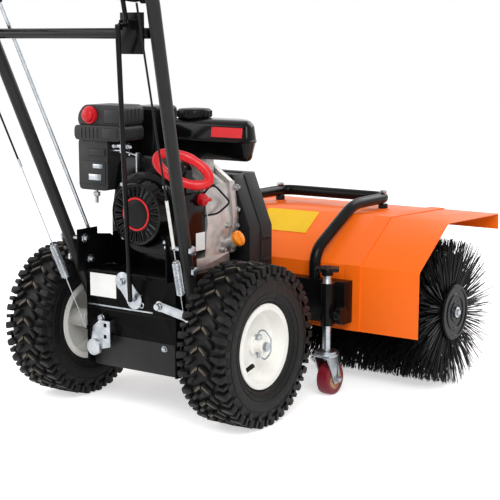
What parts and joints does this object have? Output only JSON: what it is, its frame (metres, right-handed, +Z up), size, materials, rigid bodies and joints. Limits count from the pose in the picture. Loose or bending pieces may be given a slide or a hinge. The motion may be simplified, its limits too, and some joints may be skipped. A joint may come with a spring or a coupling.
{
  "type": "power brush sweeper",
  "caption": "Walk-behind power brush sweeper with a petrol engine on a two-wheel chassis, a hooded roller brush in front on casters, and a tall tube handle.",
  "frame": {"origin": "on the ground, under the middle of the whole machine", "axes": "+X to the machine's right, +Y forward to the brush, +Z up"},
  "size_m": [0.82, 1.2787, 0.9577],
  "materials": {
    "black_paint": "glossy",
    "orange_paint": "semi gloss",
    "cream_paint": "semi gloss",
    "zinc": "bright zinc",
    "cast_aluminium": "as cast",
    "tyre_rubber": "matt",
    "soft_rubber": "matt",
    "maroon_rubber": "matt",
    "grey_plastic": "matt",
    "black_plastic": "satin",
    "red_plastic": "satin",
    "orange_plastic": "satin",
    "bristle_plastic": "matt"
  },
  "bodies": {
    "chassis": {"chassis_frame": "black_paint", "bottom_cover": "grey_plastic", "gearbox": "cast_aluminium", "guide_bracket": "zinc", "handle_left": "black_paint", "handle_right": "black_paint", "handle_bolts": "zinc", "grips": "soft_rubber", "console": "black_paint", "control_cables": "black_plastic", "drive_spring": "zinc", "brush_spring": "zinc", "crankcase": "cast_aluminium", "fan_shroud": "black_paint", "recoil_cover": "grey_plastic", "fuel_tank": "black_paint", "air_box": "grey_plastic", "carburettor": "cast_aluminium", "muffler": "black_paint", "belt_cover_rear": "grey_plastic", "belt_cover_front": "grey_plastic", "drive_belts": "soft_rubber"},
    "axle": {"drive_axle": "zinc", "tyres": "tyre_rubber", "rims": "cream_paint", "wheel_linchpins": "zinc"},
    "worm": {"worm_shaft": "zinc"},
    "crank": {"crankshaft": "zinc"},
    "input": {"input_shaft": "zinc"},
    "head": {"hood": "orange_paint", "head_frame": "black_paint", "bumper": "black_paint", "bumper_bolts": "zinc", "caster_holders": "black_paint", "brush_gearbox": "black_paint"},
    "head_shaft": {"head_shaft": "zinc"},
    "brush": {"brush_shaft": "zinc", "bristles": "bristle_plastic", "end_discs": "black_paint"},
    "drive_lever": {"drive_lever": "black_paint"},
    "brush_lever": {"brush_lever": "black_paint"},
    "drive_arm": {"drive_arm": "zinc"},
    "brush_arm": {"brush_arm": "zinc"},
    "shift_lever": {"shift_lever": "black_paint"},
    "shift_rod": {"shift_rod": "black_paint"},
    "shift_arm": {"shift_arm": "zinc"},
    "swivel_rod": {"swivel_rod": "zinc"},
    "starter_grip": {"starter_grip": "red_plastic"},
    "primer_bulb": {"primer_bulb": "red_plastic"},
    "fuel_cap": {"fuel_cap": "black_plastic"},
    "oil_cap": {"oil_cap": "orange_plastic"},
    "stop_switch": {"stop_switch": "red_plastic"},
    "caster_stem_left": {"caster_stem_left": "zinc"},
    "caster_stem_right": {"caster_stem_right": "zinc"},
    "clamp_knob_left": {"clamp_knob_left": "black_plastic"},
    "clamp_knob_right": {"clamp_knob_right": "black_plastic"},
    "caster_fork_left": {"caster_fork_left": "zinc"},
    "caster_fork_right": {"caster_fork_right": "zinc"},
    "caster_wheel_left": {"caster_wheel_left": "maroon_rubber"},
    "caster_wheel_right": {"caster_wheel_right": "maroon_rubber"}
  },
  "joints": [
    {"name": "wheel_spin", "type": "hinge", "parent": "chassis", "child": "axle", "pos_m": [-0.05, -0.11065, 0.17], "axis": [1, 0, 0], "continuous": true},
    {"name": "worm_spin", "type": "hinge", "parent": "chassis", "child": "worm", "pos_m": [-0.1, -0.11065, 0.2274], "axis": [0, 1, 0], "continuous": true},
    {"name": "crank_spin", "type": "hinge", "parent": "chassis", "child": "crank", "pos_m": [-0.042, -0.11065, 0.43], "axis": [0, 1, 0], "continuous": true},
    {"name": "head_swivel", "type": "hinge", "parent": "chassis", "child": "head", "pos_m": [0, 0.17935, 0.11], "axis": [0, 0, 1], "range_deg": [-15, 4]},
    {"name": "brush_spin", "type": "hinge", "parent": "head", "child": "brush", "pos_m": [0, 0.40935, 0.172], "axis": [1, 0, 0], "continuous": true},
    {"name": "head_shaft_spin", "type": "hinge", "parent": "head", "child": "head_shaft", "pos_m": [0, 0.17935, 0.172], "axis": [0, 1, 0], "continuous": true},
    {"name": "input_spin", "type": "hinge", "parent": "chassis", "child": "input", "pos_m": [0, 0.10435, 0.172], "axis": [0, 1, 0], "continuous": true},
    {"name": "caster_lift_left", "type": "slide", "parent": "head", "child": "caster_stem_left", "axis": [0, 0, 1], "range_m": [-0.004, 0.045]},
    {"name": "caster_swivel_left", "type": "hinge", "parent": "caster_stem_left", "child": "caster_fork_left", "pos_m": [-0.208, 0.16735, 0.098], "axis": [0, 0, 1], "continuous": true},
    {"name": "caster_roll_left", "type": "hinge", "parent": "caster_fork_left", "child": "caster_wheel_left", "pos_m": [-0.208, 0.18335, 0.0375], "axis": [1, 0, 0], "continuous": true},
    {"name": "clamp_turn_left", "type": "hinge", "parent": "head", "child": "clamp_knob_left", "pos_m": [-0.208, 0.16735, 0.187], "axis": [1, 0, 0], "range_deg": [-180, 180]},
    {"name": "caster_lift_right", "type": "slide", "parent": "head", "child": "caster_stem_right", "axis": [0, 0, 1], "range_m": [-0.004, 0.045]},
    {"name": "caster_swivel_right", "type": "hinge", "parent": "caster_stem_right", "child": "caster_fork_right", "pos_m": [0.208, 0.16735, 0.098], "axis": [0, 0, 1], "continuous": true},
    {"name": "caster_roll_right", "type": "hinge", "parent": "caster_fork_right", "child": "caster_wheel_right", "pos_m": [0.208, 0.18335, 0.0375], "axis": [1, 0, 0], "continuous": true},
    {"name": "clamp_turn_right", "type": "hinge", "parent": "head", "child": "clamp_knob_right", "pos_m": [0.208, 0.16735, 0.187], "axis": [1, 0, 0], "range_deg": [-180, 180]},
    {"name": "drive_squeeze", "type": "hinge", "parent": "chassis", "child": "drive_lever", "pos_m": [-0.31339, -0.39052, 0.862], "axis": [-1, 0, 0], "range_deg": [0, 10], "stiffness_Nm_per_rad": 3},
    {"name": "brush_squeeze", "type": "hinge", "parent": "chassis", "child": "brush_lever", "pos_m": [0.15289, -0.39052, 0.862], "axis": [-1, 0, 0], "range_deg": [0, 10], "stiffness_Nm_per_rad": 3},
    {"name": "drive_arm_turn", "type": "hinge", "parent": "chassis", "child": "drive_arm", "pos_m": [-0.122, -0.20265, 0.204], "axis": [0, 1, 0], "range_deg": [0, 5]},
    {"name": "brush_arm_turn", "type": "hinge", "parent": "chassis", "child": "brush_arm", "pos_m": [0.031, -0.20265, 0.246], "axis": [0, -1, 0], "range_deg": [0, 4]},
    {"name": "shift_turn", "type": "hinge", "parent": "chassis", "child": "shift_lever", "pos_m": [0.115, -0.39465, 0.815], "axis": [1, 0, 0], "range_deg": [-18, 18]},
    {"name": "shift_rod_slide", "type": "slide", "parent": "chassis", "child": "shift_rod", "axis": [0, 0, 1], "range_m": [-0.0065, 0.0065]},
    {"name": "shift_arm_turn", "type": "hinge", "parent": "chassis", "child": "shift_arm", "pos_m": [-0.066, -0.20265, 0.288], "axis": [0, 1, 0], "range_deg": [-13, 13]},
    {"name": "swivel_pull", "type": "slide", "parent": "chassis", "child": "swivel_rod", "axis": [0, -0.3806, 0.9248], "range_m": [-0.014, 0.004]},
    {"name": "starter_pull", "type": "slide", "parent": "chassis", "child": "starter_grip", "axis": [0.9488, -0.0999, 0.2996], "range_m": [0, 0.5], "stiffness_N_per_m": 20},
    {"name": "primer_press", "type": "slide", "parent": "chassis", "child": "primer_bulb", "axis": [0, 1, 0], "range_m": [0, 0.006], "stiffness_N_per_m": 300},
    {"name": "fuel_cap_turn", "type": "hinge", "parent": "chassis", "child": "fuel_cap", "pos_m": [-0.04, 0.01335, 0.625], "axis": [0, 0, 1], "range_deg": [0, 90]},
    {"name": "oil_cap_turn", "type": "hinge", "parent": "chassis", "child": "oil_cap", "pos_m": [0.074, 0.00935, 0.362], "axis": [0.8944, 0, 0.4472], "range_deg": [0, 180]},
    {"name": "stop_turn", "type": "hinge", "parent": "chassis", "child": "stop_switch", "pos_m": [0.046, -0.08065, 0.456], "axis": [1, 0, 0], "range_deg": [0, 60]}
  ],
  "couplings": [
    {"joint": "worm_spin", "follows": "wheel_spin", "ratio": 12},
    {"joint": "head_shaft_spin", "follows": "brush_spin", "ratio": 3},
    {"joint": "input_spin", "follows": "brush_spin", "ratio": 3},
    {"joint": "drive_arm_turn", "follows": "drive_squeeze", "ratio": 0.43},
    {"joint": "brush_arm_turn", "follows": "brush_squeeze", "ratio": 0.3},
    {"joint": "shift_rod_slide", "follows": "shift_turn", "m_per_rad": -0.0206},
    {"joint": "shift_arm_turn", "follows": "shift_turn", "ratio": 0.687},
    {"joint": "swivel_pull", "follows": "head_swivel", "m_per_rad": 0.05}
  ]
}
